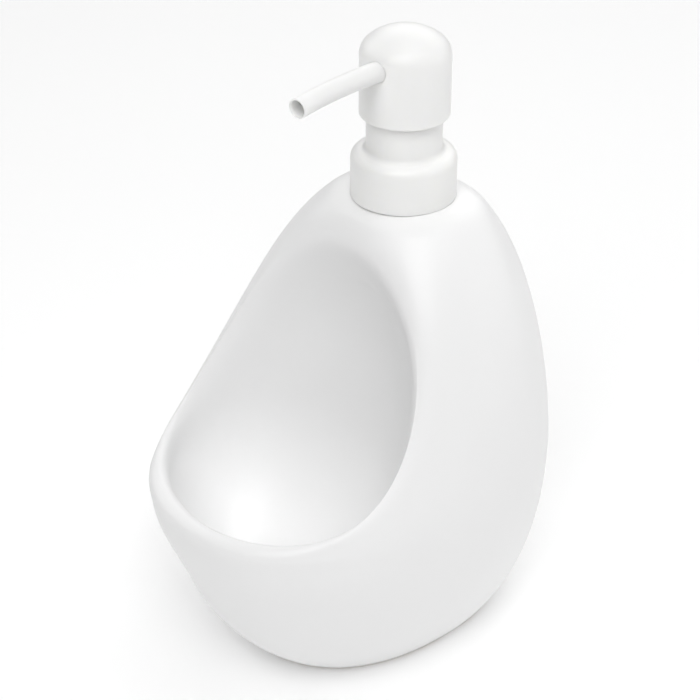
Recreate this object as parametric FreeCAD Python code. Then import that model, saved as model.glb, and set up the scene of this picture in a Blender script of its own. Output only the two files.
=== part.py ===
import FreeCAD, Part
import math
import os

# Soap pump caddy: a glazed ceramic egg with a deep scoop in its front for a sponge or scrubber,
# a soap reservoir behind and under the scoop, and a screw-on lotion pump on its top.
# Millimetres. +Z is up and the scoop faces -Y. The origin lies on the surface that the caddy
# stands on, under the middle of the belly. The pump's axis is vertical, behind the origin.

# One overrun for every cut that has to pass a face
overrun = 1.0

# Caddy body, outside: horizontal sections of an egg that leans back
body_height = 148.5
widest_height = 65.0
half_width = 55.2
half_depth = 68.2
pump_setback = 24.0
foot_setback = 8.6
foot_cut = 20.6
crown_cut = 6.9
lower_rise_share = 2.12
lower_end_share = 1.96
upper_rise_share = 1.66
upper_end_share = 2.385
lean_share = 1.2
plan_square_share = 2.3
back_wider_share = 0.07
top_flatter_share = 0.284
section_count = 15
section_point_count = 48
platform_edge_radius = 5.0
foot_edge_radius = 1.2

# Caddy body, walls and foot
wall = 5.0
roof_thickness = 9.0
floor_thickness = 6.0
foot_ring_width = 5.0
foot_recess_depth = 1.5

# Scoop: an ellipsoid that leans back, and the curved sweep that trims its lip. They are placed
# from the middle between the body's front and the pump, and from the body's middle height.
scoop_advance = 2.3
scoop_raise = 2.65
scoop_side_margin = 14.0
scoop_end_margin = 14.85
scoop_depth_margin = 16.3
scoop_tilt_deg = 66.0
lip_drop = 16.05
sweep_advance = 4.9
sweep_bend = 21.8
sweep_slope_share = 3.445
sweep_point_count = 11
rim_top_radius = 16.0
rim_lip_radius = 5.5
outer_rim_radius = 3.0

# Threaded neck ring, cemented into the top of the body
neck_radius = 12.5
neck_wall = 2.5
neck_plug_length = 10.0
neck_height = 10.5
neck_flange_radius = 15.4
neck_flange_thickness = 1.2
cement_gap = 0.1

# Thread between the neck ring and the collar
thread_pitch = 4.23
thread_turns = 1.5
thread_start = 2.4
thread_depth = 1.1
thread_root_width = 2.0
thread_crest_width = 1.2
thread_bedding = 0.3
thread_clearance = 0.35
collar_thread_turns = 1.1

# Collar: the screw cap, with the upright sleeve that the head slides over
collar_radius = 16.5
collar_height = 15.0
collar_lift = 0.3
collar_roof_thickness = 2.0
collar_edge_radius = 3.0
collar_foot_radius = 0.4
sleeve_radius = 11.75
sleeve_wall = 1.4
sleeve_overlap = 3.0
sleeve_root_radius = 1.6
sleeve_edge_radius = 0.4

# Gasket on the neck's end, under the pump's flange
gasket_thickness = 1.5
gasket_clearance = 0.4

# Pump housing
housing_bore_radius = 5.8
housing_wall = 1.2
housing_flange_radius = 12.6
housing_length = 46.0
housing_floor_thickness = 2.0
spigot_length = 9.0
spigot_wall = 1.2
inlet_hole_radius = 1.6

# Stem guide: snapped into the housing's mouth, inside the collar's sleeve
guide_flange_thickness = 1.4
guide_plug_length = 4.0
guide_clearance = 0.3

# Stem, piston and the plug that holds the piston
stem_radius = 4.1
stem_bore_radius = 2.4
slide_fit = 0.08
seat_fit = 0.05
piston_height = 8.0
piston_lip_height = 2.2
piston_lip_depth = 0.6
plug_flange_thickness = 1.2
plug_tail_length = 5.0
plug_hole_radius = 1.0

# Return spring
spring_wire_radius = 0.45
spring_clearance = 0.5
spring_turns = 8

# Inlet ball and its cage
inlet_ball_radius = 2.4
ball_side_play = 0.3
ball_rise = 0.6
cage_roof_thickness = 1.0
cage_notch_radius = 1.1
cage_notch_count = 3

# Dip tube
tube_radius = 2.7
tube_wall = 0.8
tube_floor_gap = 4.0
tube_end_slant = 4.0

# Head shell
head_radius = 13.94
head_wall = 1.3
head_bottom_height = 26.6
head_side_height = 19.0
head_crown_height = 8.9
head_corner_radius = 6.2
head_foot_radius = 0.8

# Head core with the stem's socket, and the outlet ball
core_recess = 4.0
socket_depth = 8.0
socket_wall = 1.5
outlet_passage_radius = 1.8
outlet_ball_radius = 2.0
outlet_seat_radius = 1.4
outlet_seat_thickness = 1.5
outlet_chamber_height = 5.5

# Spout: a tapered tube on a slight arc, turned a little from straight ahead as photographed
spout_turn_deg = 7.5
spout_root_height = 43.15
spout_root_setout = 5.0
spout_reach = 49.0
spout_root_rise_deg = 8.0
spout_tip_drop_deg = 4.0
spout_root_radius = 3.2
spout_tip_radius = 2.55
spout_wall = 0.55
spout_seat_depth = 4.5
spout_station_count = 7

# Heights and radii that follow from the sizes above
lower_span = widest_height + foot_cut
upper_span = body_height - widest_height + crown_cut
scoop_room = pump_setback + half_depth
scoop_middle_y = pump_setback - (scoop_room / 2 + scoop_advance)
scoop_middle_z = body_height / 2 + scoop_raise
scoop_half_width = half_width - scoop_side_margin
scoop_half_length = body_height / 2 - scoop_end_margin
scoop_half_depth = scoop_room / 2 - scoop_depth_margin
lip_level = body_height / 2 - lip_drop
sweep_middle_y = pump_setback - scoop_room / 2 - sweep_advance
seat_level = body_height
reservoir_top = body_height - roof_thickness
neck_inner_radius = neck_radius - neck_wall
collar_bottom = seat_level + collar_lift
collar_top = seat_level + collar_height
collar_bore_radius = neck_radius + thread_depth + thread_clearance
thread_drop = (thread_root_width + thread_crest_width) / 2 + thread_clearance
gasket_level = seat_level + neck_height
flange_level = gasket_level + gasket_thickness
flange_top = collar_top - collar_roof_thickness
housing_radius = housing_bore_radius + housing_wall
housing_bottom = flange_level - housing_length
housing_seat = housing_bottom + housing_floor_thickness
spigot_radius = tube_radius + seat_fit + spigot_wall
head_bottom = seat_level + head_bottom_height
sleeve_top = head_bottom + sleeve_overlap
piston_top = flange_top - guide_plug_length - seat_fit
piston_bottom = piston_top - piston_height
plug_bottom = piston_bottom - plug_flange_thickness
core_bottom = head_bottom + core_recess
stem_top = core_bottom + socket_depth
spring_radius = housing_bore_radius - spring_clearance - spring_wire_radius
inlet_ball_level = housing_seat + math.sqrt(inlet_ball_radius ** 2 - inlet_hole_radius ** 2) + seat_fit
cage_top = inlet_ball_level + inlet_ball_radius + ball_rise + cage_roof_thickness
outlet_seat_level = stem_top - outlet_chamber_height
spout_root_level = seat_level + spout_root_height


def vector(x, y, z):
    return FreeCAD.Vector(x, y, z)


def save(name, shape):
    shape.exportStep("parts/" + name + ".step")


def save_on_pump(name, shape):
    """Moves a piece built about the Z axis onto the pump's axis and saves it."""
    moved = shape.copy()
    moved.translate(vector(0, pump_setback, 0))
    save(name, moved)


def turned(outline):
    """Solid of revolution about Z from the (radius, height) corners of its half section."""
    corners = [vector(radius, 0, height) for radius, height in outline]
    face = Part.Face(Part.makePolygon(corners + corners[:1]))
    return face.revolve(vector(0, 0, 0), vector(0, 0, 1), 360)


def tube(outer_radius, inner_radius, low, high):
    return turned([(inner_radius, low), (outer_radius, low), (outer_radius, high), (inner_radius, high)])


def disc(radius, low, high):
    return Part.makeCylinder(radius, high - low, vector(0, 0, low))


def ring_edges(shape, radius, height):
    """Circular edges of a turned piece at one radius and height."""
    found = []
    for edge in shape.Edges:
        spot = edge.valueAt(edge.FirstParameter)
        if abs(math.hypot(spot.x, spot.y) - radius) + abs(spot.z - height) < seat_fit:
            found.append(edge)
    return found


def level_edges(shape, height):
    """Edges that lie flat at one height."""
    found = []
    for edge in shape.Edges:
        box = edge.BoundBox
        if abs(box.ZMin - height) + abs(box.ZMax - height) < seat_fit:
            found.append(edge)
    return found


# Caddy body: the egg

def egg_share(height):
    """Size of the egg's section at a height, as a share of its size at the widest place."""
    if height < widest_height:
        drop_share = (widest_height - height) / lower_span
        return (1 - drop_share ** lower_rise_share) ** (1 / lower_end_share)
    climb_share = (height - widest_height) / upper_span
    return (1 - climb_share ** upper_rise_share) ** (1 / upper_end_share)


def egg_middle(height):
    """Where the section's middle lies along Y: back at the foot, and at the pump's axis on top."""
    if height < widest_height:
        return foot_setback * ((widest_height - height) / widest_height) ** 2
    climb_share = (height - widest_height) / (body_height - widest_height)
    return pump_setback * climb_share ** lean_share


def egg_section(height, inset):
    """Closed curve of the egg at a height, drawn in from the outside by an inset."""
    climb_share = max(0, (height - widest_height) / (body_height - widest_height))
    width = half_width * egg_share(height) - inset
    depth = half_depth * egg_share(height) * (1 - top_flatter_share * climb_share) - inset
    points = []
    for index in range(section_point_count):
        angle = 2 * math.pi * index / section_point_count
        side = math.copysign(abs(math.cos(angle)) ** (2 / plan_square_share), math.cos(angle))
        back = math.copysign(abs(math.sin(angle)) ** (2 / plan_square_share), math.sin(angle))
        x = side * width * (1 + back_wider_share * back)
        points.append(vector(x, egg_middle(height) + depth * back, height))
    curve = Part.BSplineCurve()
    curve.interpolate(Points=points, PeriodicFlag=True)
    return Part.Wire([curve.toShape()])


def egg(low, high, inset):
    """Solid egg between two heights, its sections closer together towards both ends."""
    sections = []
    for index in range(section_count):
        way_share = (1 - math.cos(math.pi * index / (section_count - 1))) / 2
        sections.append(egg_section(low + (high - low) * way_share, inset))
    return Part.makeLoft(sections, True, False)


# Caddy body: the scoop and its rim

def sweep_height(y):
    """Height of the sweep over the scoop: nearly level at the lip, then climbing steeply."""
    back = y - sweep_middle_y
    return lip_level + sweep_slope_share * (back + math.hypot(back, sweep_bend)) / 2


def sweep_slope(y):
    back = y - sweep_middle_y
    return sweep_slope_share * (1 + back / math.hypot(back, sweep_bend)) / 2


def sweep_block(inset):
    """Everything in front of and above the sweep, moved into the body by an inset."""
    front = -half_depth - 2 * wall
    points = []
    for index in range(sweep_point_count):
        y = front + (pump_setback - front) * index / (sweep_point_count - 1)
        run = math.hypot(sweep_slope(y), 1)
        points.append(vector(0, y + inset * sweep_slope(y) / run, sweep_height(y) - inset / run))
    curve = Part.BSplineCurve()
    curve.interpolate(Points=points)
    first = points[0]
    last = points[-1]
    top = last.z + wall
    corners = [last, vector(0, last.y, top), vector(0, first.y, top), first]
    outline = Part.Wire([curve.toShape()] + Part.makePolygon(corners).Edges)
    block = Part.Face(outline).extrude(vector(4 * half_width, 0, 0))
    block.translate(vector(-2 * half_width, 0, 0))
    return block


def scoop_egg(grow):
    """The scoop's tilted ellipsoid, grown by a wall thickness where that is wanted."""
    tilt = math.radians(scoop_tilt_deg)
    width = scoop_half_width + grow
    length = scoop_half_length + grow
    depth = scoop_half_depth + grow
    place = FreeCAD.Matrix(
        0, -width, 0, 0,
        depth * math.sin(tilt), 0, length * math.cos(tilt), scoop_middle_y,
        -depth * math.cos(tilt), 0, length * math.sin(tilt), scoop_middle_z,
        0, 0, 0, 1)
    return Part.makeSphere(1).transformGeometry(place)


def rim_seam(tool):
    """Edge between scoop and sweep that runs down one side from the rim's top to the lip."""
    for edge in tool.Edges:
        first = edge.valueAt(edge.FirstParameter)
        last = edge.valueAt(edge.LastParameter)
        spot = edge.valueAt((edge.FirstParameter + edge.LastParameter) / 2)
        ends_on_middle = max(abs(first.x), abs(last.x)) < seat_fit
        if ends_on_middle and abs(spot.x) > wall and first.z > last.z:
            return edge


def scoop_tool(inset):
    """Scoop and sweep as one cutting solid. Its inner edge is rounded, most at the rim's top."""
    block = sweep_block(inset)
    right = Part.makeBox(
        4 * half_width, 4 * body_height, 4 * body_height, vector(0, -2 * body_height, -body_height))
    tool = scoop_egg(inset).fuse(block.common(right).fuse(block.cut(right)))
    return tool.makeFillet(rim_top_radius - inset, rim_lip_radius - inset, [rim_seam(tool)])


def outer_rim(body, outside, tool):
    """Edges of the body where the scoop's tool has come out through the egg."""
    found = []
    for edge in body.Edges:
        spot = Part.Vertex(edge.valueAt((edge.FirstParameter + edge.LastParameter) / 2))
        gaps = [spot.distToShape(shape.Shells[0])[0] for shape in (outside, tool)]
        if max(gaps) < seat_fit:
            found.append(edge)
    return found


def reservoir():
    """Soap space: the egg's inside, less the walls around the scoop and under the sweep."""
    space = egg(floor_thickness, reservoir_top, wall).cut(scoop_tool(wall))
    return max(space.Solids, key=lambda solid: solid.Volume)


def ceramic_body():
    outside = egg(0, body_height, 0)
    outside = outside.makeFillet(platform_edge_radius, level_edges(outside, body_height))
    outside = outside.makeFillet(foot_edge_radius, level_edges(outside, 0))
    tool = scoop_tool(0)
    body = outside.cut(tool)
    body = body.makeFillet(outer_rim_radius, outer_rim(body, outside, tool))
    bore = disc(neck_radius + cement_gap, reservoir_top - wall, seat_level + overrun)
    seat = disc(neck_flange_radius + cement_gap, seat_level - neck_flange_thickness, seat_level + overrun)
    for cut in (bore, seat):
        cut.translate(vector(0, pump_setback, 0))
        body = body.cut(cut)
    recess = Part.Face(egg_section(0, foot_ring_width)).extrude(vector(0, 0, foot_recess_depth))
    return body.cut(recess).cut(reservoir())


# Screw closure

def thread_ridge(root_radius, crest_radius, start, turns):
    """Helical ridge from its root's radius to its crest's radius, its root bedded in the wall."""
    way = math.copysign(1, crest_radius - root_radius)
    bed_radius = root_radius - way * thread_bedding
    half_root = thread_root_width / 2
    half_crest = thread_crest_width / 2
    profile = Part.makePolygon([
        vector(bed_radius, 0, start - half_root),
        vector(root_radius, 0, start - half_root),
        vector(crest_radius, 0, start - half_crest),
        vector(crest_radius, 0, start + half_crest),
        vector(root_radius, 0, start + half_root),
        vector(bed_radius, 0, start + half_root),
        vector(bed_radius, 0, start - half_root)])
    helix = Part.makeHelix(thread_pitch, thread_pitch * turns, root_radius)
    helix.translate(vector(0, 0, start))
    return Part.Wire(helix).makePipeShell([profile], True, True)


def neck_ring():
    low = seat_level - neck_plug_length
    flange_low = seat_level - neck_flange_thickness
    ring = turned([
        (neck_inner_radius, low),
        (neck_radius, low),
        (neck_radius, flange_low),
        (neck_flange_radius, flange_low),
        (neck_flange_radius, seat_level),
        (neck_radius, seat_level),
        (neck_radius, gasket_level),
        (neck_inner_radius, gasket_level)])
    crest = neck_radius + thread_depth
    return ring.fuse(thread_ridge(neck_radius, crest, seat_level + thread_start, thread_turns))


def collar():
    sleeve_bore_radius = sleeve_radius - sleeve_wall
    shell = turned([
        (collar_bore_radius, collar_bottom),
        (collar_radius, collar_bottom),
        (collar_radius, collar_top),
        (sleeve_radius, collar_top),
        (sleeve_radius, sleeve_top),
        (sleeve_bore_radius, sleeve_top),
        (sleeve_bore_radius, flange_top),
        (collar_bore_radius, flange_top)])
    shell = shell.makeFillet(collar_edge_radius, ring_edges(shell, collar_radius, collar_top))
    shell = shell.makeFillet(collar_foot_radius, ring_edges(shell, collar_radius, collar_bottom))
    shell = shell.makeFillet(sleeve_root_radius, ring_edges(shell, sleeve_radius, collar_top))
    shell = shell.makeFillet(sleeve_edge_radius, ring_edges(shell, sleeve_radius, sleeve_top))
    skipped_turns = thread_turns - collar_thread_turns
    start = seat_level + thread_start - thread_drop + thread_pitch * skipped_turns
    crest = neck_radius + thread_clearance
    ridge = thread_ridge(collar_bore_radius, crest, start, collar_thread_turns)
    ridge.rotate(vector(0, 0, 0), vector(0, 0, 1), 360 * skipped_turns)
    return shell.fuse(ridge)


def gasket():
    return tube(neck_radius, housing_radius + gasket_clearance, gasket_level, flange_level)


# Pump body

def pump_housing():
    spigot_bottom = housing_bottom - spigot_length
    return turned([
        (housing_bore_radius, flange_top),
        (housing_flange_radius, flange_top),
        (housing_flange_radius, flange_level),
        (housing_radius, flange_level),
        (housing_radius, housing_bottom),
        (spigot_radius, housing_bottom),
        (spigot_radius, spigot_bottom),
        (tube_radius + seat_fit, spigot_bottom),
        (tube_radius + seat_fit, housing_bottom),
        (inlet_hole_radius, housing_bottom),
        (inlet_hole_radius, housing_seat),
        (housing_bore_radius, housing_seat)])


def stem_guide():
    plug_radius = housing_bore_radius - seat_fit
    bore_radius = stem_radius + slide_fit
    flange_radius = sleeve_radius - sleeve_wall - guide_clearance
    top = flange_top + guide_flange_thickness
    return turned([
        (bore_radius, flange_top - guide_plug_length),
        (plug_radius, flange_top - guide_plug_length),
        (plug_radius, flange_top),
        (flange_radius, flange_top),
        (flange_radius, top),
        (bore_radius, top)])


def ball_cage():
    cage = disc(housing_bore_radius - seat_fit, housing_seat, cage_top)
    chamber_radius = inlet_ball_radius + ball_side_play
    cage = cage.cut(disc(chamber_radius, housing_seat - overrun, cage_top - cage_roof_thickness))
    for index in range(cage_notch_count):
        notch = disc(cage_notch_radius, housing_seat - overrun, cage_top + overrun)
        notch.translate(vector(chamber_radius, 0, 0))
        notch.rotate(vector(0, 0, 0), vector(0, 0, 1), 360 * index / cage_notch_count)
        cage = cage.cut(notch)
    return cage


def inlet_ball():
    return Part.makeSphere(inlet_ball_radius, vector(0, 0, inlet_ball_level))


def dip_tube():
    low = floor_thickness + tube_floor_gap
    pipe = tube(tube_radius, tube_radius - tube_wall, low, housing_bottom)
    side = tube_radius + overrun
    corners = [vector(-side, -side, low), vector(side, -side, low), vector(side, -side, low + tube_end_slant)]
    wedge = Part.Face(Part.makePolygon(corners + corners[:1])).extrude(vector(0, 2 * side, 0))
    return pipe.cut(wedge)


def spring():
    low = cage_top + spring_wire_radius + seat_fit
    high = plug_bottom - spring_wire_radius - seat_fit
    helix = Part.makeHelix((high - low) / spring_turns, high - low, spring_radius)
    helix.translate(vector(0, 0, low))
    start = vector(spring_radius, 0, low)
    wire = Part.Wire(Part.makeCircle(spring_wire_radius, start, vector(0, 1, 0)))
    return Part.Wire(helix).makePipeShell([wire], True, True)


# Plunger

def stem():
    web_bottom = outlet_seat_level - outlet_seat_thickness
    return turned([
        (stem_bore_radius, piston_bottom),
        (stem_radius, piston_bottom),
        (stem_radius, stem_top),
        (stem_bore_radius, stem_top),
        (stem_bore_radius, outlet_seat_level),
        (outlet_seat_radius, outlet_seat_level),
        (outlet_seat_radius, web_bottom),
        (stem_bore_radius, web_bottom)])


def piston():
    inner_radius = stem_radius + seat_fit
    lip_radius = housing_bore_radius - slide_fit
    waist_radius = lip_radius - piston_lip_depth
    return turned([
        (inner_radius, piston_bottom),
        (lip_radius, piston_bottom),
        (lip_radius, piston_bottom + piston_lip_height),
        (waist_radius, piston_bottom + piston_lip_height),
        (waist_radius, piston_top - piston_lip_height),
        (lip_radius, piston_top - piston_lip_height),
        (lip_radius, piston_top),
        (inner_radius, piston_top)])


def piston_plug():
    flange_radius = spring_radius + spring_wire_radius
    tail_radius = stem_bore_radius - seat_fit
    return turned([
        (plug_hole_radius, plug_bottom),
        (flange_radius, plug_bottom),
        (flange_radius, piston_bottom),
        (tail_radius, piston_bottom),
        (tail_radius, piston_bottom + plug_tail_length),
        (plug_hole_radius, piston_bottom + plug_tail_length)])


def outlet_ball():
    rise = math.sqrt(outlet_ball_radius ** 2 - outlet_seat_radius ** 2) + seat_fit
    return Part.makeSphere(outlet_ball_radius, vector(0, 0, outlet_seat_level + rise))


# Head

def dome(inset, low):
    """Head's outer form, drawn in by an inset: a straight side, a corner arc and a crown arc."""
    side_top = head_bottom + head_side_height
    corner_setin = head_radius - head_corner_radius
    crown_radius = (corner_setin ** 2 + head_crown_height ** 2 - head_corner_radius ** 2) / (
        2 * (head_crown_height - head_corner_radius))
    crown_level = side_top + head_crown_height - crown_radius
    turn = math.atan2(side_top - crown_level, corner_setin)
    corner = head_corner_radius - inset
    crown = crown_radius - inset

    def on_corner(angle):
        return vector(corner_setin + corner * math.cos(angle), 0, side_top + corner * math.sin(angle))

    def on_crown(angle):
        return vector(crown * math.cos(angle), 0, crown_level + crown * math.sin(angle))

    top = vector(0, 0, crown_level + crown)
    foot = vector(head_radius - inset, 0, low)
    edges = Part.makePolygon([top, vector(0, 0, low), foot, on_corner(0)]).Edges
    edges.append(Part.Arc(on_corner(0), on_corner(turn / 2), on_corner(turn)).toShape())
    edges.append(Part.Arc(on_corner(turn), on_crown((turn + math.pi / 2) / 2), top).toShape())
    return Part.Face(Part.Wire(edges)).revolve(vector(0, 0, 0), vector(0, 0, 1), 360)


def turned_aside(shape):
    """Turns a piece of the head from straight ahead to the spout's direction."""
    shape.rotate(vector(0, 0, 0), vector(0, 0, 1), spout_turn_deg)
    return shape


def spout_rod(inset):
    """Tapered rod along the spout's arc, thinner than the spout's outside by an inset."""
    rise = math.radians(spout_root_rise_deg)
    drop = math.radians(spout_tip_drop_deg)
    arc_radius = (spout_reach - spout_root_setout) / (math.sin(rise) + math.sin(drop))
    stations = []
    for index in range(spout_station_count):
        way_share = index / (spout_station_count - 1)
        angle = rise - (rise + drop) * way_share
        out = spout_root_setout + arc_radius * (math.sin(rise) - math.sin(angle))
        height = spout_root_level + arc_radius * (math.cos(angle) - math.cos(rise))
        radius = spout_root_radius + (spout_tip_radius - spout_root_radius) * way_share - inset
        along = vector(0, -math.cos(angle), math.sin(angle))
        stations.append(Part.Wire(Part.makeCircle(radius, vector(0, -out, height), along)))
    return turned_aside(Part.makeLoft(stations, True, False))


def spout():
    return spout_rod(0).cut(spout_rod(spout_wall))


def head_shell():
    shell = dome(0, head_bottom)
    shell = shell.makeFillet(head_foot_radius, ring_edges(shell, head_radius, head_bottom))
    return shell.cut(dome(head_wall, head_bottom - overrun)).cut(spout_rod(-seat_fit))


def head_core():
    socket_radius = stem_radius + seat_fit
    core_radius = socket_radius + socket_wall
    boss_radius = spout_root_radius + socket_wall
    boss_reach = spout_root_setout + spout_seat_depth
    ahead = vector(0, -1, 0)
    root = vector(0, 0, spout_root_level)
    core = disc(core_radius, core_bottom, spout_root_level + head_radius)
    core = core.fuse(turned_aside(Part.makeCylinder(boss_radius, boss_reach, root, ahead)))
    core = core.common(dome(head_wall, core_bottom))
    core = core.cut(disc(socket_radius, core_bottom - overrun, stem_top))
    core = core.cut(disc(outlet_passage_radius, stem_top - overrun, spout_root_level + outlet_passage_radius))
    passage_reach = spout_root_setout + overrun
    core = core.cut(turned_aside(Part.makeCylinder(outlet_passage_radius, passage_reach, root, ahead)))
    return core.cut(spout_rod(-seat_fit))


os.makedirs("parts", exist_ok=True)
save("ceramic_body", ceramic_body())
for piece in (
        neck_ring, collar, gasket, pump_housing, stem_guide, ball_cage, inlet_ball, dip_tube, spring,
        stem, piston, piston_plug, outlet_ball, spout, head_shell, head_core):
    save_on_pump(piece.__name__, piece())
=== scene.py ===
import math
import bmesh
import bpy
import numpy
from mathutils import Matrix, Vector


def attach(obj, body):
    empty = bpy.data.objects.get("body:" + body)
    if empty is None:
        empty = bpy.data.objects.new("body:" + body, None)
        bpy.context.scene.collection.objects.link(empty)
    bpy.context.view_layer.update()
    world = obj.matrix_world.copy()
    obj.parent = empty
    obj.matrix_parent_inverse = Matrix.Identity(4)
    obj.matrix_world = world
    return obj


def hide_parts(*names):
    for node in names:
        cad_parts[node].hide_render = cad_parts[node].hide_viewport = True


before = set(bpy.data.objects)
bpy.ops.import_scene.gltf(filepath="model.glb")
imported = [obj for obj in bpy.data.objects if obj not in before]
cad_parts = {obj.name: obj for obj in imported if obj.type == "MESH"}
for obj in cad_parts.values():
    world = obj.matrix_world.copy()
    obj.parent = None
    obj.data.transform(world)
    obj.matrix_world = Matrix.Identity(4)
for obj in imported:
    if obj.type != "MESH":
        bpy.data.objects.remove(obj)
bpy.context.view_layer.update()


# The photographer's camera looks down at the caddy from its front right, from half a metre
# away. Its place and lens come from the circles of the pump and the outline of the body.
pump_y = 0.024
platform_height = 0.1485
camera_azimuth = math.radians(47.19)
camera_pitch = math.radians(31.68)
camera_right = -0.01651
camera_back = 0.49408
camera_up = 0.24738
photo_width_px = 700
focal_length_px = 1774.6
sensor_width_mm = 36
nearest_view = 0.01

camera_data = bpy.data.cameras.new("camera")
camera_data.sensor_width = sensor_width_mm
camera_data.lens = focal_length_px / photo_width_px * sensor_width_mm
camera_data.clip_start = nearest_view
camera = bpy.data.objects.new("camera", camera_data)
sideways = Vector((math.cos(camera_azimuth), math.sin(camera_azimuth), 0))
forwards = Vector((-math.sin(camera_azimuth), math.cos(camera_azimuth), 0))
pump_foot = Vector((0, pump_y, platform_height))
camera.location = (pump_foot + camera_right * sideways - camera_back * forwards
                   + Vector((0, 0, camera_up)))
camera.rotation_euler = (math.pi / 2 - camera_pitch, 0, camera_azimuth)
bpy.context.collection.objects.link(camera)
bpy.context.scene.camera = camera
bpy.context.scene.view_settings.view_transform = "Standard"


# The studio is a white light table under white softboxes. The key stands over the camera, the
# others light the caddy from behind and from the right, and the glowing table fills its underside.
def linear_color(hex_code):
    """Linear colour of an sRGB hex code."""
    channels = []
    for start in (1, 3, 5):
        value = int(hex_code[start:start + 2], 16) / 255
        channels.append(value / 12.92 if value <= 0.04045 else ((value + 0.055) / 1.055) ** 2.4)
    return (*channels, 1)


def add_node(material, kind, settings, links=()):
    """Adds a node with its settings, fed by the given outputs, to a material."""
    node = material.node_tree.nodes.new(kind)
    for name, value in settings.items():
        if name in node.inputs:
            node.inputs[name].default_value = value
        else:
            setattr(node, name, value)
    for name, output in dict(links).items():
        material.node_tree.links.new(output, node.inputs[name])
    return node


def new_material(name):
    """Material with nodes, and none in it yet."""
    material = bpy.data.materials.new(name)
    material.use_nodes = True
    material.node_tree.nodes.clear()
    return material


def add_object(name, mesh_or_light):
    """Object for a mesh or a light, put into the scene."""
    thing = bpy.data.objects.new(name, mesh_or_light)
    bpy.context.collection.objects.link(thing)
    return thing


table_size = 8.0
table_glow = 0.095
table_mesh = bpy.data.meshes.new("table")
table_shape = bmesh.new()
bmesh.ops.create_grid(table_shape, x_segments=1, y_segments=1, size=table_size / 2)
table_shape.to_mesh(table_mesh)
table_shape.free()
table = add_object("table", table_mesh)

# Sanded opal acrylic, lit a little from below: an even white with no reflections.
white_board = new_material("white_acrylic_light_table")
board_shader = add_node(white_board, "ShaderNodeBsdfPrincipled", {
    "Base Color": linear_color("#FAFAFA"), "Roughness": 0.6, "IOR": 1.45,
    "Emission Color": linear_color("#FFFFFF"), "Emission Strength": table_glow})
add_node(white_board, "ShaderNodeOutputMaterial", {}, {"Surface": board_shader.outputs["BSDF"]})
table_mesh.materials.append(white_board)

room_light = 0.12
room = bpy.data.worlds.new("room")
room.use_nodes = True
room.node_tree.nodes["Background"].inputs["Color"].default_value = linear_color("#FFFFFF")
room.node_tree.nodes["Background"].inputs["Strength"].default_value = room_light
bpy.context.scene.world = room

# Each softbox has a direction as the camera sees it, a distance and a side in metres, and watts.
aim_height = 0.10
aim = Vector((0, 0, aim_height))
for name, right, back, up, away, size, watts in (
        ("softbox_key", -0.1, 0.62, 0.78, 1.3, 0.9, 9.7),
        ("softbox_overhead", 0.2, 0.2, 0.95, 1.3, 1.0, 4.2),
        ("softbox_behind_right", 0.7, -0.5, 0.5, 1.3, 0.9, 1.8),
        ("softbox_behind_left", -0.7, -0.5, 0.5, 1.3, 0.9, 3.2),
        ("softbox_behind", 0.1, -0.8, 0.6, 1.4, 1.2, 5.8),
        ("softbox_right", 0.97, 0, 0.25, 1.4, 1.0, 3.2)):
    light = bpy.data.lights.new(name, "AREA")
    light.shape = "SQUARE"
    light.size = size
    light.energy = watts
    softbox = add_object(name, light)
    direction = right * sideways - back * forwards + Vector((0, 0, up))
    softbox.location = aim + away * direction.normalized()
    softbox.rotation_euler = (-direction).to_track_quat("-Z", "Y").to_euler()


# The body is one slip-cast stoneware piece with a white glaze: an egg that leans back, with
# a deep scoop in front. Only its foot ring is bare. Glaze rounds the rim, broadly at the top.
body_height = 0.1485
widest_height = 0.065
half_width = 0.0552
half_depth = 0.0682
foot_setback = 0.0086
lower_span = 0.0856
upper_span = 0.0904
lower_rise_share = 2.12
lower_end_share = 1.96
upper_rise_share = 1.66
upper_end_share = 2.385
lean_share = 1.2
plan_square_share = 2.3
back_wider_share = 0.07
top_flatter_share = 0.284
pole_limit = 0.99
height_limit = 1.05
depth_limit = 1.2

scoop_middle = Vector((0, -0.0244, 0.0769))
scoop_tilt = math.radians(66)
scoop_half_width = 0.0412
scoop_half_length = 0.0594
scoop_half_depth = 0.0298
lip_level = 0.0582
sweep_middle_y = -0.0270
sweep_bend = 0.0218
sweep_slope = 3.445

front_flat = 0.0038
front_flat_height = 0.035
front_flat_reach = 0.017
front_flat_edge_y = -0.020
front_flat_blend = 0.025

outer_join = 0.00537
outer_join_growth = 0.00352
bowl_join = 0.01165
bowl_join_growth = 0.0193
platform_join = 0.0035
join_growth_height = 0.070
join_growth_span = 0.075
bowl_join_low = 0.020
bowl_join_low_span = 0.040
least_join_share = 0.2

corner_merge = 1e-6
mesh_step = 0.0012
thinnest_wall = 0.0035
kept_foot_height = 0.003
kept_neck_radius = 0.0160
kept_neck_low = 0.120
bare_foot_height = 0.0006
slope_reach = 0.00002
normal_reach = 0.00005
pull_rounds = 6
tiny_field = 1e-9
tiny_slope = 1e-12


def flattened(y, z):
    """Moves places at the lower front forwards, so that the egg and the scoop draw back there."""
    front = numpy.clip((front_flat_edge_y - y) / front_flat_blend, 0, 1)
    near = numpy.exp(-((z - front_flat_height) / front_flat_reach) ** 2)
    return y - front_flat * near * front ** 2 * (3 - 2 * front)


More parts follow.
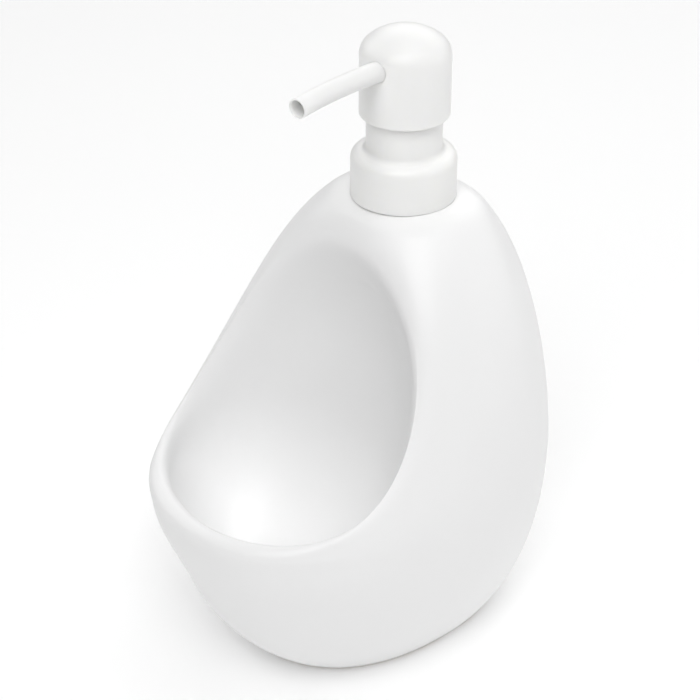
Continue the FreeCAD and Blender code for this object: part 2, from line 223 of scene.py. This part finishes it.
def egg_field(x, y, z):
    """Zero on the egg, below zero inside it."""
    y = flattened(y, z)
    drop = numpy.clip((widest_height - z) / lower_span, 0, pole_limit)
    climb = numpy.clip((z - widest_height) / upper_span, 0, pole_limit)
    size = numpy.where(z < widest_height,
                       (1 - drop ** lower_rise_share) ** (1 / lower_end_share),
                       (1 - climb ** upper_rise_share) ** (1 / upper_end_share))
    way_up = numpy.clip((z - widest_height) / (body_height - widest_height), 0, height_limit)
    way_down = numpy.clip((widest_height - z) / widest_height, 0, height_limit)
    middle = foot_setback * way_down ** 2 + pump_y * way_up ** lean_share
    back = (y - middle) / (half_depth * size * (1 - top_flatter_share * way_up))
    wider = 1 + back_wider_share * numpy.clip(back, -depth_limit, depth_limit)
    side = x / (half_width * size * wider)
    squared = numpy.abs(side) ** plan_square_share + numpy.abs(back) ** plan_square_share
    return (squared + tiny_field) ** (1 / plan_square_share) - 1


def scoop_field(x, y, z):
    """Zero on the scoop's ellipsoid, below zero inside it."""
    y = flattened(y, z)
    along = (y - scoop_middle.y) * math.cos(scoop_tilt) + (z - scoop_middle.z) * math.sin(scoop_tilt)
    out = (z - scoop_middle.z) * math.cos(scoop_tilt) - (y - scoop_middle.y) * math.sin(scoop_tilt)
    return numpy.sqrt((x / scoop_half_width) ** 2 + (along / scoop_half_length) ** 2
                      + (out / scoop_half_depth) ** 2 + tiny_field) - 1


def sweep_field(x, y, z):
    """Zero on the sweep that trims the scoop's mouth, above zero over it."""
    back = y - sweep_middle_y
    return z - lip_level - sweep_slope * (back + numpy.hypot(back, sweep_bend)) / 2


def distance(field, points):
    """Distance to a field's zero surface, near that surface."""
    x, y, z = points.T
    slopes = ((field(x + slope_reach, y, z) - field(x - slope_reach, y, z)) / (2 * slope_reach),
              (field(x, y + slope_reach, z) - field(x, y - slope_reach, z)) / (2 * slope_reach),
              (field(x, y, z + slope_reach) - field(x, y, z - slope_reach)) / (2 * slope_reach))
    return field(x, y, z) / numpy.sqrt(slopes[0] ** 2 + slopes[1] ** 2 + slopes[2] ** 2 + tiny_slope)


def rounded_join(first, second, reach):
    """The larger of two distances, with the corner where they meet rounded over a reach."""
    overlap = numpy.clip(reach - numpy.abs(first - second), 0, None)
    return numpy.maximum(first, second) + overlap ** 2 / (4 * reach)


def glazed_distance(points):
    """Distance to the body with its soft rim. The rim is widest at the top, and the bowl's
    join gets tight low down, where a wide one would eat through the thin front wall."""
    z = points[:, 2]
    way_up = numpy.clip((z - join_growth_height) / join_growth_span, 0, 1)
    outside = rounded_join(distance(egg_field, points), distance(sweep_field, points),
                           outer_join + outer_join_growth * way_up)
    near_rim = numpy.clip((z - bowl_join_low) / bowl_join_low_span, least_join_share, 1)
    bowl = rounded_join(outside, -distance(scoop_field, points),
                        near_rim * (bowl_join + bowl_join_growth * way_up))
    return rounded_join(bowl, z - body_height, platform_join)


def pull_to_glaze(points, depth):
    """Moves points along the surface's normal until they lie at a depth under the glaze."""
    for pull_round in range(pull_rounds):
        offset = glazed_distance(points) + depth
        normal = numpy.empty_like(points)
        for axis in range(3):
            shift = numpy.zeros(3)
            shift[axis] = normal_reach
            normal[:, axis] = glazed_distance(points + shift) - glazed_distance(points - shift)
        normal /= numpy.linalg.norm(normal, axis=1)[:, None] + tiny_slope
        points = points - normal * offset[:, None]
    return points


# The body starts as the solid with its skin remeshed evenly.
cad_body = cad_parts["ceramic_body"]
body_mesh = bpy.data.meshes.new("glazed_body")
body_shape = bmesh.new()
body_shape.from_mesh(cad_body.data)
bmesh.ops.remove_doubles(body_shape, verts=body_shape.verts, dist=corner_merge)
body_shape.to_mesh(body_mesh)
body_shape.free()
body_mesh.materials.clear()
glazed_body = add_object("glazed_body", body_mesh)
even = glazed_body.modifiers.new("even_mesh", "REMESH")
even.mode = "VOXEL"
even.voxel_size = mesh_step
evaluated = glazed_body.evaluated_get(bpy.context.evaluated_depsgraph_get())
glazed_body.data = bpy.data.meshes.new_from_object(evaluated)
glazed_body.modifiers.clear()

# The skin is what can be reached from the body's front without crossing the foot or the neck,
# so it leaves out the reservoir. It is pulled onto the glaze, and where the reservoir comes
# too close under it, the reservoir's wall is pulled in.
places = numpy.empty(len(glazed_body.data.vertices) * 3)
glazed_body.data.vertices.foreach_get("co", places)
places = places.reshape(-1, 3)
from_pump = numpy.hypot(places[:, 0], places[:, 1] - pump_y)
free = (places[:, 2] > kept_foot_height) & (
    (from_pump > kept_neck_radius) | (places[:, 2] < kept_neck_low))
pairs = numpy.empty(len(glazed_body.data.edges) * 2, dtype=numpy.int32)
glazed_body.data.edges.foreach_get("vertices", pairs)
pairs = pairs.reshape(-1, 2)
pairs = pairs[free[pairs].all(axis=1)]
skin = free & (places[:, 1] < places[:, 1].min() + mesh_step)
skin_count = 0
while skin.sum() > skin_count:
    skin_count = skin.sum()
    skin[pairs[skin[pairs].any(axis=1)]] = True
thin = free & ~skin & (glazed_distance(places) > -thinnest_wall)
drawn_back = places[skin]
drawn_back[:, 1] += drawn_back[:, 1] - flattened(drawn_back[:, 1], drawn_back[:, 2])
places[skin] = pull_to_glaze(drawn_back, 0)
places[thin] = pull_to_glaze(places[thin], thinnest_wall)
glazed_body.data.vertices.foreach_set("co", places.ravel())
glazed_body.data.update()
for face in glazed_body.data.polygons:
    face.use_smooth = True

# Fired white glaze: a broad soft sheen under a thin clear coat, with faint clouds in its tone
# and a barely uneven skin, so that no highlight has a hard edge.
glaze_cloud = 0.035
glaze_ripple = 0.006
glaze_ripple_depth = 0.00004
glaze = new_material("white_gloss_glaze")
glaze_place = add_node(glaze, "ShaderNodeTexCoord", {})
glaze_tone = add_node(glaze, "ShaderNodeTexNoise", {
    "Scale": 1 / glaze_cloud, "Detail": 2.0, "Roughness": 0.5}, {
    "Vector": glaze_place.outputs["Object"]})
glaze_color = add_node(glaze, "ShaderNodeMix", {
    "data_type": "RGBA", "A": linear_color("#F7F7F7"), "B": linear_color("#F4F4F4")}, {
    "Factor": glaze_tone.outputs["Fac"]})
glaze_peel = add_node(glaze, "ShaderNodeTexNoise", {"Scale": 1 / glaze_ripple, "Detail": 2.0}, {
    "Vector": glaze_place.outputs["Object"]})
glaze_bump = add_node(glaze, "ShaderNodeBump", {"Strength": 0.25, "Distance": glaze_ripple_depth}, {
    "Height": glaze_peel.outputs["Fac"]})
glaze_shader = add_node(glaze, "ShaderNodeBsdfPrincipled", {
    "Roughness": 0.45, "IOR": 1.5, "Coat Weight": 0.12, "Coat Roughness": 0.12}, {
    "Base Color": glaze_color.outputs["Result"], "Normal": glaze_bump.outputs["Normal"]})
add_node(glaze, "ShaderNodeOutputMaterial", {}, {"Surface": glaze_shader.outputs["BSDF"]})
glazed_body.data.materials.append(glaze)

# Unglazed stoneware, wiped clean before firing: dry, sandy and a little darker.
clay_grain = 0.0012
clay_grain_depth = 0.00006
bare_stoneware = new_material("bare_stoneware")
stoneware_place = add_node(bare_stoneware, "ShaderNodeTexCoord", {})
stoneware_grain = add_node(bare_stoneware, "ShaderNodeTexNoise", {
    "Scale": 1 / clay_grain, "Detail": 4.0}, {
    "Vector": stoneware_place.outputs["Object"]})
stoneware_color = add_node(bare_stoneware, "ShaderNodeMix", {
    "data_type": "RGBA", "A": linear_color("#D9D3C8"), "B": linear_color("#C9C1B4")}, {
    "Factor": stoneware_grain.outputs["Fac"]})
stoneware_bump = add_node(bare_stoneware, "ShaderNodeBump", {
    "Strength": 0.6, "Distance": clay_grain_depth}, {
    "Height": stoneware_grain.outputs["Fac"]})
stoneware_shader = add_node(bare_stoneware, "ShaderNodeBsdfPrincipled", {
    "Roughness": 0.85, "IOR": 1.5}, {
    "Base Color": stoneware_color.outputs["Result"], "Normal": stoneware_bump.outputs["Normal"]})
add_node(bare_stoneware, "ShaderNodeOutputMaterial", {}, {"Surface": stoneware_shader.outputs["BSDF"]})
glazed_body.data.materials.append(bare_stoneware)
for face in glazed_body.data.polygons:
    if face.center.z < bare_foot_height:
        face.material_index = 1
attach(glazed_body, "caddy")
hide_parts("ceramic_body")


# The collar is the screw cap, injection moulded in white polypropylene with the upright
# sleeve that the head slides over. It screws onto the ring cemented in the body's neck.
collar_radius = 0.0165
collar_low = 0.14853
collar_high = 0.1635
collar_roof = 0.002
collar_bore_radius = 0.01395
collar_edge_radius = 0.003
collar_foot_radius = 0.0002
sleeve_radius = 0.01175
sleeve_wall = 0.0014
sleeve_high = 0.1781
sleeve_root_radius = 0.0016
sleeve_edge_radius = 0.0004
ridge_width = 0.0020
ridge_crest_width = 0.0012
ridge_crest_radius = 0.01285
ridge_bedding = 0.0002
ridge_low = 0.1519
thread_pitch = 0.00423
ridge_turns = 1.1
round_steps = 128
fillet_points = 8
fillet_lead = 0.00005
seam_merge = 1e-7


def filleted(corners):
    """Outline through (radius, height, fillet radius) corners, each fillet as short chords.
    A point just outside each end of a fillet keeps the shading of the flats beside it flat."""
    outline = []
    for index, corner in enumerate(corners):
        spot = Vector(corner[:2])
        before = (Vector(corners[index - 1][:2]) - spot).normalized()
        after = (Vector(corners[(index + 1) % len(corners)][:2]) - spot).normalized()
        if corner[2] == 0:
            outline.append(spot)
            continue
        half_angle = before.angle(after) / 2
        middle = spot + (before + after).normalized() * corner[2] / math.sin(half_angle)
        setback = corner[2] / math.tan(half_angle)
        start = spot + before * setback - middle
        end = spot + after * setback - middle
        outline.append(spot + before * (setback + fillet_lead))
        for step in range(fillet_points + 1):
            outline.append(middle + start.slerp(end, step / fillet_points).normalized() * corner[2])
        outline.append(spot + after * (setback + fillet_lead))
    return outline


def smooth_object(name, shape):
    """Turns a finished bmesh into a smooth-shaded object whose faces point outwards."""
    bmesh.ops.remove_doubles(shape, verts=shape.verts, dist=seam_merge)
    bmesh.ops.recalc_face_normals(shape, faces=shape.faces)
    for face in shape.faces:
        face.smooth = True
    mesh = bpy.data.meshes.new(name)
    shape.to_mesh(mesh)
    shape.free()
    return add_object(name, mesh)


def spin_outline(shape, outline):
    """Spins a closed outline of (radius, height) points about the pump's axis."""
    corners = [shape.verts.new((spot[0], pump_y, spot[1])) for spot in outline]
    ring = [shape.edges.new((corners[index - 1], corners[index])) for index in range(len(corners))]
    bmesh.ops.spin(shape, geom=corners + ring, cent=(0, pump_y, 0), axis=(0, 0, 1), dvec=(0, 0, 0),
                   angle=2 * math.pi, steps=round_steps, use_merge=True)


collar_shape = bmesh.new()
spin_outline(collar_shape, filleted([
    (collar_bore_radius, collar_low, 0),
    (collar_radius, collar_low, collar_foot_radius),
    (collar_radius, collar_high, collar_edge_radius),
    (sleeve_radius, collar_high, sleeve_root_radius),
    (sleeve_radius, sleeve_high, sleeve_edge_radius),
    (sleeve_radius - sleeve_wall, sleeve_high, sleeve_edge_radius),
    (sleeve_radius - sleeve_wall, collar_high - collar_roof, 0),
    (collar_bore_radius, collar_high - collar_roof, 0)]))

# The thread is one ridge inside the collar, spun up along its pitch.
ridge_root_radius = collar_bore_radius + ridge_bedding
ridge_steps = int(round_steps * ridge_turns)
ridge = [collar_shape.verts.new((radius, pump_y, height)) for radius, height in (
    (ridge_root_radius, ridge_low),
    (ridge_crest_radius, ridge_low + (ridge_width - ridge_crest_width) / 2),
    (ridge_crest_radius, ridge_low + (ridge_width + ridge_crest_width) / 2),
    (ridge_root_radius, ridge_low + ridge_width))]
ridge_start = collar_shape.faces.new(ridge)
bmesh.ops.spin(collar_shape, geom=[ridge_start] + list(ridge_start.edges) + ridge, cent=(0, pump_y, 0),
               axis=(0, 0, 1), dvec=(0, 0, thread_pitch * ridge_turns / ridge_steps),
               angle=2 * math.pi * ridge_turns, steps=ridge_steps)
collar = smooth_object("screw_collar", collar_shape)

# White polypropylene from a finely etched mould: a satin sheen, soft at its edges because
# light enters it by about a millimetre. The mould's etch is drawn 0.6 mm coarse to show.
plastic_cloud = 0.02
mould_etch = 0.0006
mould_etch_depth = 0.000008
satin_plastic = new_material("white_satin_polypropylene")
plastic_place = add_node(satin_plastic, "ShaderNodeTexCoord", {})
plastic_tone = add_node(satin_plastic, "ShaderNodeTexNoise", {
    "Scale": 1 / plastic_cloud, "Detail": 2.0}, {
    "Vector": plastic_place.outputs["Object"]})
plastic_color = add_node(satin_plastic, "ShaderNodeMix", {
    "data_type": "RGBA", "A": linear_color("#F9F9F7"), "B": linear_color("#F6F6F4")}, {
    "Factor": plastic_tone.outputs["Fac"]})
plastic_grain = add_node(satin_plastic, "ShaderNodeTexNoise", {"Scale": 1 / mould_etch, "Detail": 2.0}, {
    "Vector": plastic_place.outputs["Object"]})
plastic_bump = add_node(satin_plastic, "ShaderNodeBump", {
    "Strength": 0.15, "Distance": mould_etch_depth}, {
    "Height": plastic_grain.outputs["Fac"]})
plastic_shader = add_node(satin_plastic, "ShaderNodeBsdfPrincipled", {
    "Roughness": 0.36, "IOR": 1.49, "Subsurface Weight": 0.4,
    "Subsurface Radius": (0.0012, 0.0012, 0.0011), "Subsurface Scale": 1.0}, {
    "Base Color": plastic_color.outputs["Result"], "Normal": plastic_bump.outputs["Normal"]})
add_node(satin_plastic, "ShaderNodeOutputMaterial", {}, {"Surface": plastic_shader.outputs["BSDF"]})
collar.data.materials.append(satin_plastic)
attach(collar, "collar")
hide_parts("collar")


# The head's shell is one thin moulding, snapped over the core: a straight side, a corner arc
# and a flatter crown. A round hole in its side lets the spout through, so the spout's sizes
# stand here too. It is the same white polypropylene as the collar.
head_radius = 0.01394
head_wall = 0.0013
head_low = 0.1751
head_side_top = 0.1941
head_crown_height = 0.0089
head_corner_radius = 0.0062
head_foot_radius = 0.0008
side_step_count = 20
dome_step_count = 12
spout_turn = math.radians(7.5)
spout_root_height = 0.19165
spout_root_setout = 0.005
spout_reach = 0.049
spout_rise = math.radians(8)
spout_drop = math.radians(4)
spout_root_radius = 0.0032
spout_tip_radius = 0.00305
spout_wall = 0.00055
spout_steps = 64
spout_stations = 40
hole_clearance = 0.00002


def dome_outline(inset, low):
    """Half outline of the head, drawn in by an inset, from its foot up to the axis."""
    setin = head_radius - head_corner_radius
    crown_radius = (setin ** 2 + head_crown_height ** 2 - head_corner_radius ** 2) / (
        2 * (head_crown_height - head_corner_radius))
    crown_middle = head_side_top + head_crown_height - crown_radius
    turn = math.atan2(head_side_top - crown_middle, setin)
    outline = []
    for step in range(side_step_count):
        outline.append((head_radius - inset, low + (head_side_top - low) * step / side_step_count))
    for step in range(dome_step_count):
        angle = turn * step / dome_step_count
        outline.append((setin + (head_corner_radius - inset) * math.cos(angle),
                        head_side_top + (head_corner_radius - inset) * math.sin(angle)))
    for step in range(dome_step_count + 1):
        angle = turn + (math.pi / 2 - turn) * step / dome_step_count
        outline.append(((crown_radius - inset) * math.cos(angle),
                        crown_middle + (crown_radius - inset) * math.sin(angle)))
    return outline


def spout_loop(shape, way, inset):
    """Ring of the spout at a share of the way from root to tip, thinner by an inset."""
    arc_radius = (spout_reach - spout_root_setout) / (math.sin(spout_rise) + math.sin(spout_drop))
    angle = spout_rise - (spout_rise + spout_drop) * way
    out = spout_root_setout + arc_radius * (math.sin(spout_rise) - math.sin(angle))
    height = spout_root_height + arc_radius * (math.cos(angle) - math.cos(spout_rise))
    radius = spout_root_radius + (spout_tip_radius - spout_root_radius) * way - inset
    place = (Matrix.Translation((0, pump_y, 0)) @ Matrix.Rotation(spout_turn, 4, "Z")
             @ Matrix.Translation((0, -out, height)) @ Matrix.Rotation(math.pi / 2 - angle, 4, "X"))
    made = bmesh.ops.create_circle(shape, segments=spout_steps, radius=radius, matrix=place)
    return list({edge for vert in made["verts"] for edge in vert.link_edges})


def bridge_all(shape, loops):
    """Bridges each loop to the next."""
    for before, after in zip(loops, loops[1:]):
        bmesh.ops.bridge_loops(shape, edges=before + after)


head_shape = bmesh.new()
outer_dome = dome_outline(0, head_low + head_foot_radius)
foot = [(radius, height) for radius, height in filleted([
    (head_radius - head_wall, head_low, 0), (head_radius, head_low, head_foot_radius),
    (head_radius, head_low + 3 * head_foot_radius, 0)])][:-2]
inner_dome = dome_outline(head_wall, head_low)
spin_outline(head_shape, foot + outer_dome[1:] + inner_dome[:0:-1])
head = smooth_object("domed_head", head_shape)

hole_shape = bmesh.new()
hole_loops = [spout_loop(hole_shape, way, -hole_clearance) for way in (0, 0.1, 0.2, 0.3, 0.4)]
bridge_all(hole_shape, hole_loops)
bmesh.ops.contextual_create(hole_shape, geom=hole_loops[0])
bmesh.ops.contextual_create(hole_shape, geom=hole_loops[-1])
hole_form = smooth_object("spout_hole", hole_shape)
drilled = head.modifiers.new("spout_hole", "BOOLEAN")
drilled.object = hole_form
drilled.operation = "DIFFERENCE"
drilled.solver = "EXACT"
head.data = bpy.data.meshes.new_from_object(head.evaluated_get(bpy.context.evaluated_depsgraph_get()))
head.modifiers.clear()
bpy.data.objects.remove(hole_form)
head.data.materials.clear()
head.data.materials.append(satin_plastic)
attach(head, "head")
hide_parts("head_shell")


# The spout is a thin tapered tube on a slight downward arc, moulded in the same polypropylene
# and pushed into the head's core. Its wall and its bore show at the open tip.
tip_round = 0.00012
before_tip = 1 - tip_round / spout_reach
station_shares = [step / spout_stations for step in range(spout_stations)]
spout_shape = bmesh.new()
loops = [spout_loop(spout_shape, way, 0) for way in station_shares]
loops.append(spout_loop(spout_shape, before_tip, 0))
loops.append(spout_loop(spout_shape, 1, tip_round))
loops.append(spout_loop(spout_shape, 1, spout_wall - tip_round))
loops.append(spout_loop(spout_shape, before_tip, spout_wall))
loops += [spout_loop(spout_shape, way, spout_wall) for way in reversed(station_shares)]
bridge_all(spout_shape, loops + loops[:1])
spout = smooth_object("spout_tube", spout_shape)
spout.data.materials.append(satin_plastic)
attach(spout, "head")
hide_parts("spout")


# The pieces inside come straight from the solids. The neck ring, guide, cage, plug and core
# are plain polypropylene mouldings that nobody sees, left matt and a little grey. The stem,
# which slides through the sleeve, is the same satin white as the outside of the pump.
def dress(names, material):
    """Gives solids a material of their own."""
    for name in names:
        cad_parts[name].data.materials.clear()
        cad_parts[name].data.materials.append(material)


def plain_material(name, hex_code, grain, depth, settings):
    """Material with one colour and a fine grain of the given size and depth."""
    material = new_material(name)
    place = add_node(material, "ShaderNodeTexCoord", {})
    noise = add_node(material, "ShaderNodeTexNoise", {"Scale": 1 / grain, "Detail": 3.0}, {
        "Vector": place.outputs["Object"]})
    bump = add_node(material, "ShaderNodeBump", {"Strength": 0.5, "Distance": depth}, {
        "Height": noise.outputs["Fac"]})
    shader = add_node(material, "ShaderNodeBsdfPrincipled", {
        "Base Color": linear_color(hex_code), **settings}, {
        "Normal": bump.outputs["Normal"]})
    add_node(material, "ShaderNodeOutputMaterial", {}, {"Surface": shader.outputs["BSDF"]})
    return material


dress(["stem"], satin_plastic)
dress(["neck_ring", "stem_guide", "ball_cage", "piston_plug", "head_core"], plain_material(
    "matt_polypropylene", "#E2E2DE", grain=0.0004, depth=0.00001, settings={
        "Roughness": 0.5, "IOR": 1.49}))


# The housing and the dip tube carry the soap, and the piston wipes the housing's bore. They
# are moulded or extruded in polyethylene without pigment, so they look milky and smooth, and
# let some light through.
dress(["pump_housing", "dip_tube", "piston"], plain_material(
    "milky_polyethylene", "#E9ECEA", grain=0.0008, depth=0.00001, settings={
        "Roughness": 0.35, "IOR": 1.51, "Transmission Weight": 0.45}))


# The gasket seals the neck's end under the pump's flange. It is die-cut from closed-cell
# foam sheet, whose cut cells make it look dull and finely pitted.
dress(["gasket"], plain_material(
    "pale_foam_rubber", "#C9C8C2", grain=0.0003, depth=0.00005, settings={
        "Roughness": 0.85, "IOR": 1.5}))


# The two valve balls are ground stainless steel with a bright, nearly mirror finish. The
# return spring is wound from drawn stainless wire, duller because the die roughens it a
# little. Both grains are drawn coarser than the real ones, so that they show.
dress(["inlet_ball", "outlet_ball"], plain_material(
    "ground_stainless_steel", "#C6C6C8", grain=0.0001, depth=0.000001, settings={
        "Metallic": 1.0, "Roughness": 0.12}))
dress(["spring"], plain_material(
    "drawn_stainless_wire", "#BDBDBF", grain=0.0002, depth=0.000004, settings={
        "Metallic": 1.0, "Roughness": 0.3}))
